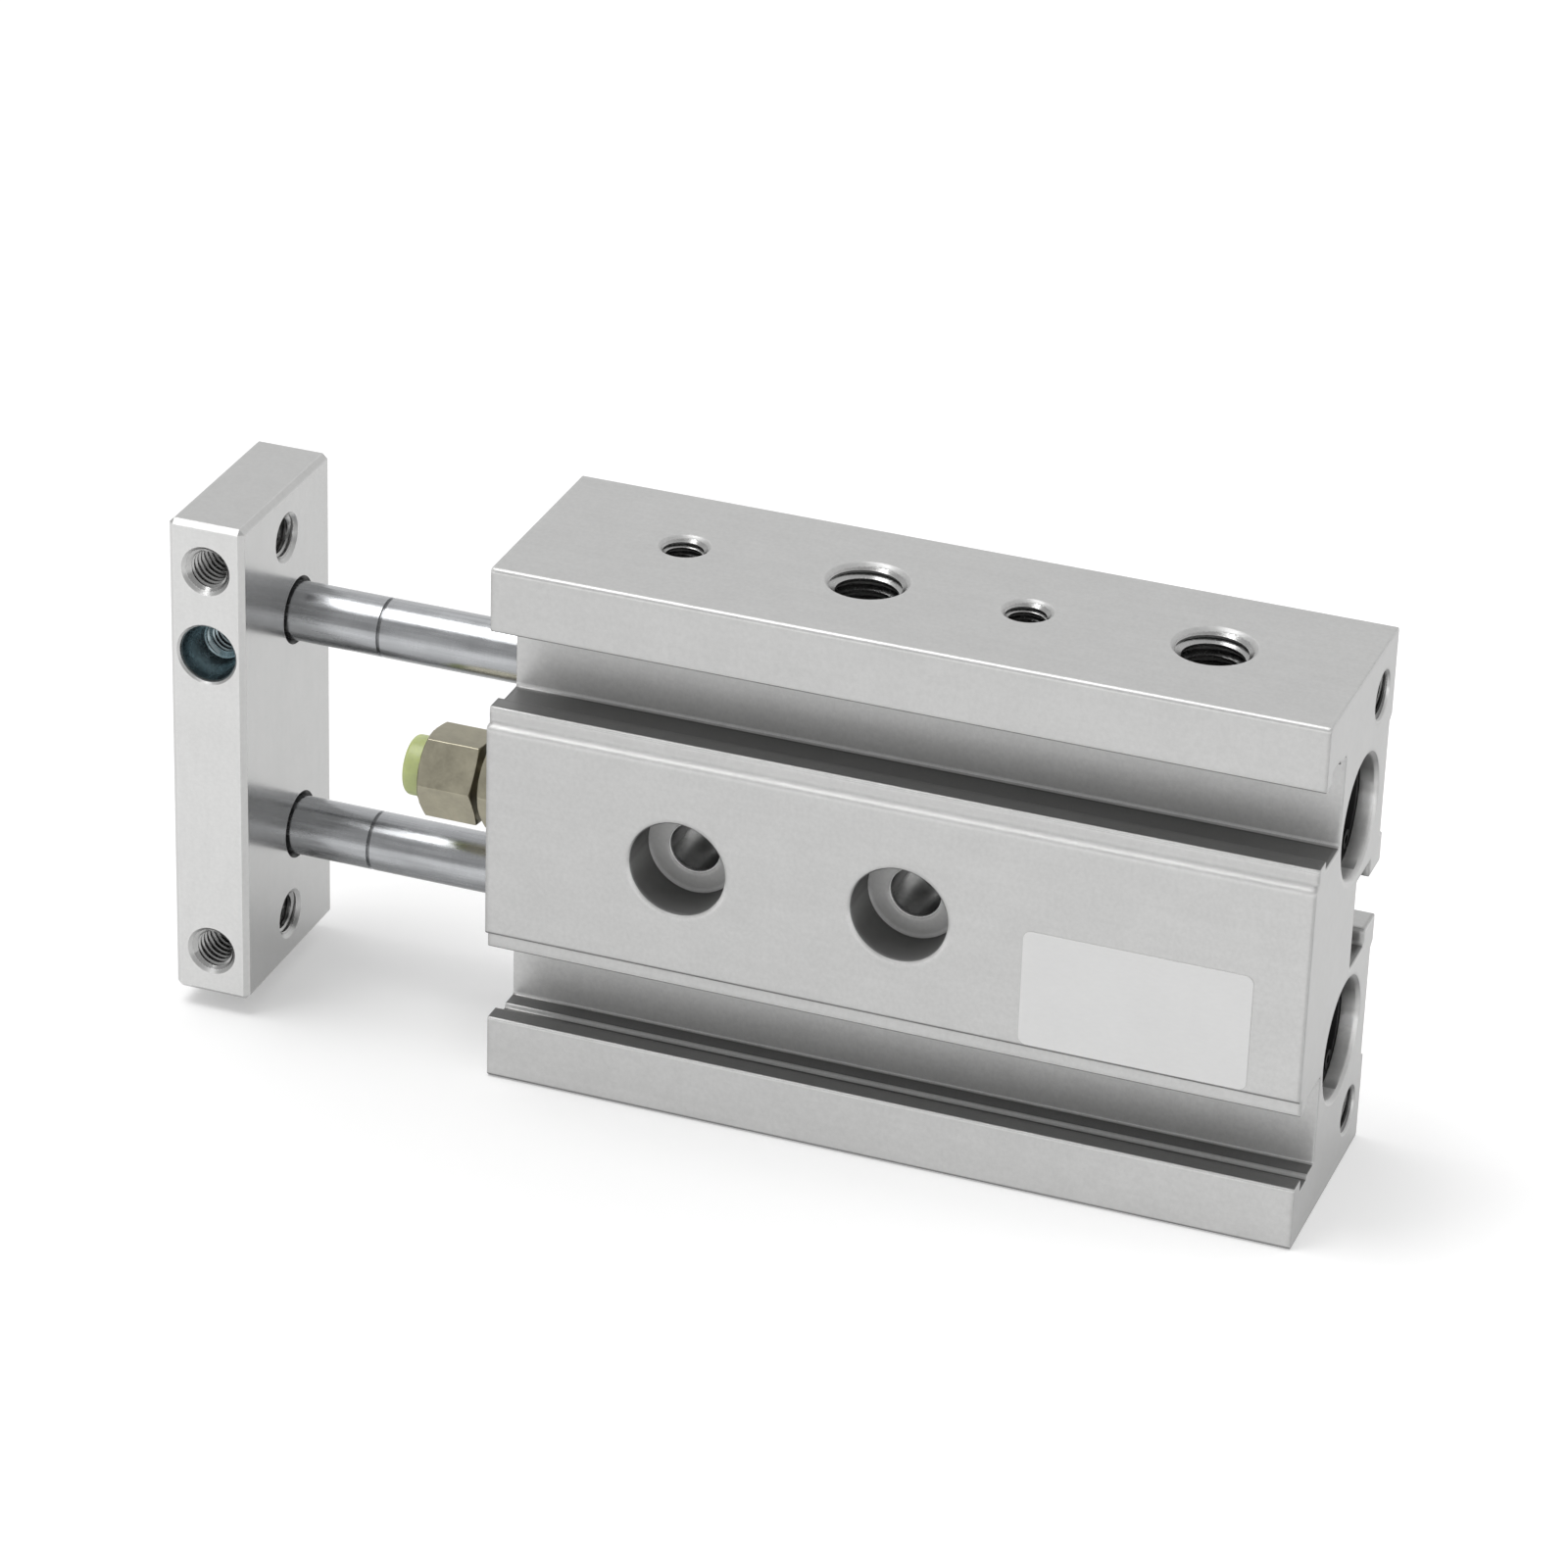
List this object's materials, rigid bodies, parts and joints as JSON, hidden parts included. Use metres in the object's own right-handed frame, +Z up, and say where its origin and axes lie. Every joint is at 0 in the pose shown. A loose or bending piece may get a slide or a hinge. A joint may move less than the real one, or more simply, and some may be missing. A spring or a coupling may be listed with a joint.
{
  "type": "twin-rod pneumatic cylinder",
  "caption": "Slim block pneumatic cylinder whose parallel rods push an end plate without turning, with sensor grooves along its front, threaded air ports and a stroke-setting stopper.",
  "frame": {"origin": "centre of the barrel's base, the narrow side that it stands on", "axes": "+X along the stroke from the rods to the head end, -Y out of the raised pad, +Z up"},
  "size_m": [0.0778, 0.016, 0.037],
  "materials": {
    "anodised_aluminium": "satin clear anodised extrusion",
    "plate_aluminium": "satin clear anodised, milled",
    "cover_aluminium": "turned",
    "ground_steel": "hard chromed and ground",
    "nickel_steel": "nickel plated",
    "zinc_steel": "blue zinc plated",
    "black_steel": "black oxide",
    "spring_steel": "phosphated",
    "washer_steel": "plain",
    "bush_bronze": "oil-filled sintered bronze",
    "seal_rubber": "matt nitrile",
    "bumper_urethane": "pale translucent urethane",
    "damper_urethane": "urethane",
    "magnet": "moulded ferrite"
  },
  "bodies": {
    "barrel": {"barrel": "anodised_aluminium", "stopper_lock_nut": "nickel_steel", "front_retaining_ring_upper": "spring_steel", "front_retaining_ring_lower": "spring_steel", "seal_washer_upper": "washer_steel", "seal_washer_lower": "washer_steel", "rod_cover_upper": "cover_aluminium", "rod_cover_lower": "cover_aluminium", "rod_bush_upper": "bush_bronze", "rod_bush_lower": "bush_bronze", "rod_seal_upper": "seal_rubber", "rod_seal_lower": "seal_rubber", "rod_cover_oring_upper": "seal_rubber", "rod_cover_oring_lower": "seal_rubber", "head_cover_upper": "cover_aluminium", "head_cover_lower": "cover_aluminium", "head_cover_oring_upper": "seal_rubber", "head_cover_oring_lower": "seal_rubber", "rear_retaining_ring_upper": "spring_steel", "rear_retaining_ring_lower": "spring_steel"},
    "carriage": {"end_plate": "plate_aluminium", "rod_clamp_screw": "zinc_steel", "rod_end_screw": "black_steel", "piston_rod_upper": "ground_steel", "piston_rod_lower": "ground_steel", "piston_upper": "cover_aluminium", "piston_lower": "cover_aluminium", "piston_seal_upper": "seal_rubber", "piston_seal_lower": "seal_rubber", "piston_magnet_upper": "magnet", "piston_magnet_lower": "magnet", "piston_nut_upper": "washer_steel", "piston_nut_lower": "washer_steel", "piston_damper_upper": "damper_urethane", "piston_damper_lower": "damper_urethane"},
    "bumper": {"stopper_bumper": "bumper_urethane"},
    "stopper": {"stopper_bolt": "nickel_steel"}
  },
  "joints": [
    {"name": "plate_slide", "type": "slide", "parent": "barrel", "child": "carriage", "axis": [1, 0, 0], "range_m": [0, 0.0095]},
    {"name": "stopper_travel", "type": "slide", "parent": "barrel", "child": "bumper", "axis": [1, 0, 0], "range_m": [0, 0.00025]},
    {"name": "stopper_turn", "type": "hinge", "parent": "bumper", "child": "stopper", "pos_m": [-0.032, -0.0013, 0.0185], "axis": [1, 0, 0], "range_deg": [0, 180]}
  ],
  "couplings": [
    {"joint": "stopper_turn", "follows": "stopper_travel", "rad_per_m": 12566}
  ]
}
